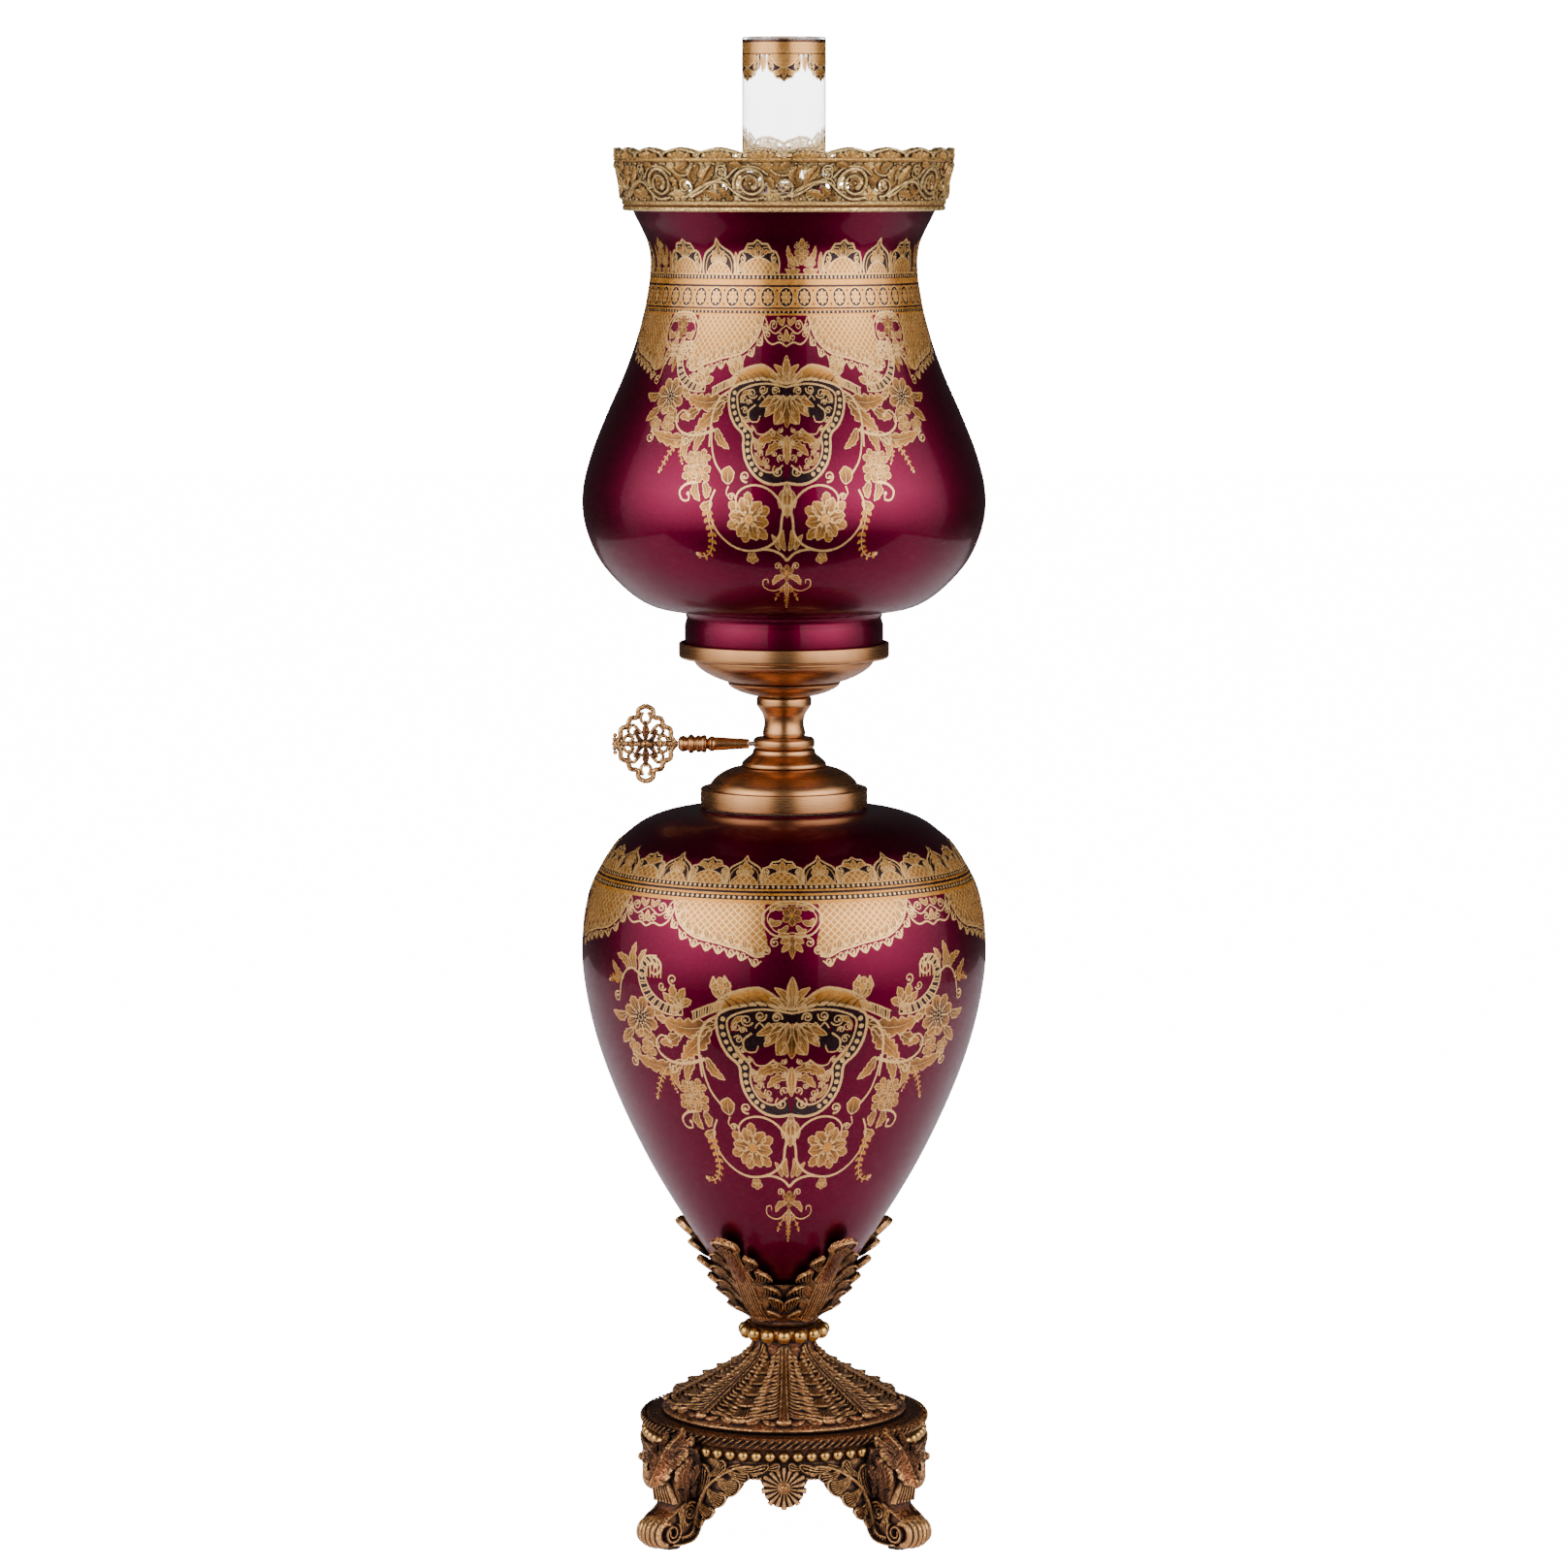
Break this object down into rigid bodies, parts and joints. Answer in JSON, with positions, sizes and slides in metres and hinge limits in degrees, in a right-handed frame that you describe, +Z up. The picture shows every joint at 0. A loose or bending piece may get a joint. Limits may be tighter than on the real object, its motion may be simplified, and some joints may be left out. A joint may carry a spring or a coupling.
{
  "type": "oil lamp",
  "caption": "Table oil lamp with ruby glass vase and shade, gilt lace ornament, cast footed base, openwork crown, drop-in font, chimney and a side key that raises the wick.",
  "frame": {"origin": "centre of the lamp on the surface it stands on", "axes": "+Z up along the lamp's axis; the front is towards -Y; the wick raiser's key points along -X"},
  "size_m": [0.206, 0.206, 0.7604],
  "materials": {
    "ruby_glass": "glossy deep ruby with gilt lace ornament",
    "clear_glass": "clear with a gilt lace edge",
    "cast_bronze": "antique bronze casting, rubbed bright on its high places",
    "copper_bronze": "satin copper-bronze, spun and turned",
    "crown_brass": "gilt openwork casting with dark recesses",
    "bead_brass": "gilt brass, rubbed",
    "burner_brass": "plain satin brass",
    "steel": "plain zinc-plated",
    "felt": "dark pressed felt",
    "cork": "natural cork",
    "wick_cotton": "woven cotton"
  },
  "bodies": {
    "base": {"foot_pad_1": "felt", "foot_pad_2": "felt", "foot_pad_3": "felt", "foot_pad_4": "felt", "footed_base": "cast_bronze", "pedestal_dome": "cast_bronze", "beaded_collar": "bead_brass", "tie_rod": "steel", "base_lock_nut": "steel", "base_washer": "steel", "leaf_cup": "cast_bronze", "cup_washer": "felt", "vase": "ruby_glass", "vase_inner_washer": "felt", "vase_inner_nut": "steel", "mouth_gasket": "cork"},
    "font": {"oil_font": "burner_brass"},
    "burner_unit": {"cap_base_ring": "copper_bronze", "cap_dome": "copper_bronze", "cap_step": "copper_bronze", "lower_pipe_nut": "burner_brass", "burner_pipe": "burner_brass", "spindle_collar": "copper_bronze", "neck_spool": "copper_bronze", "lower_dish": "copper_bronze", "upper_dish": "copper_bronze", "shade_holder": "copper_bronze", "upper_pipe_nut": "burner_brass", "burner_base": "burner_brass", "air_basket": "burner_brass", "chimney_gallery": "burner_brass", "flame_deflector": "burner_brass", "wick_tube": "burner_brass"},
    "wick_key": {"wick_spindle": "steel", "feed_wheel_1": "burner_brass", "feed_wheel_2": "burner_brass", "key_shank": "copper_bronze", "key_ferrule": "copper_bronze", "key_bow": "cast_bronze"},
    "wick": {"wick": "wick_cotton"},
    "chimney": {"chimney": "clear_glass"},
    "shade": {"shade": "ruby_glass"},
    "crown": {"crown": "crown_brass"}
  },
  "joints": [
    {"name": "font_lift", "type": "slide", "parent": "base", "child": "font", "axis": [0, 0, 1], "range_m": [0, 0.1]},
    {"name": "burner_lift", "type": "slide", "parent": "font", "child": "burner_unit", "axis": [0, 0, 1], "range_m": [0, 0.1]},
    {"name": "key_turn", "type": "hinge", "parent": "burner_unit", "child": "wick_key", "pos_m": [0, -0.0038, 0.4038], "axis": [1, 0, 0], "range_deg": [-120, 150]},
    {"name": "wick_feed", "type": "slide", "parent": "burner_unit", "child": "wick", "axis": [0, 0, 1], "range_m": [-0.0056, 0.007]},
    {"name": "chimney_lift", "type": "slide", "parent": "burner_unit", "child": "chimney", "axis": [0, 0, 1], "range_m": [0, 0.25]},
    {"name": "shade_lift", "type": "slide", "parent": "burner_unit", "child": "shade", "axis": [0, 0, 1], "range_m": [0, 0.315]},
    {"name": "crown_lift", "type": "slide", "parent": "shade", "child": "crown", "axis": [0, 0, 1], "range_m": [0, 0.09]}
  ],
  "couplings": [
    {"joint": "wick_feed", "follows": "key_turn", "m_per_rad": 0.0026}
  ]
}
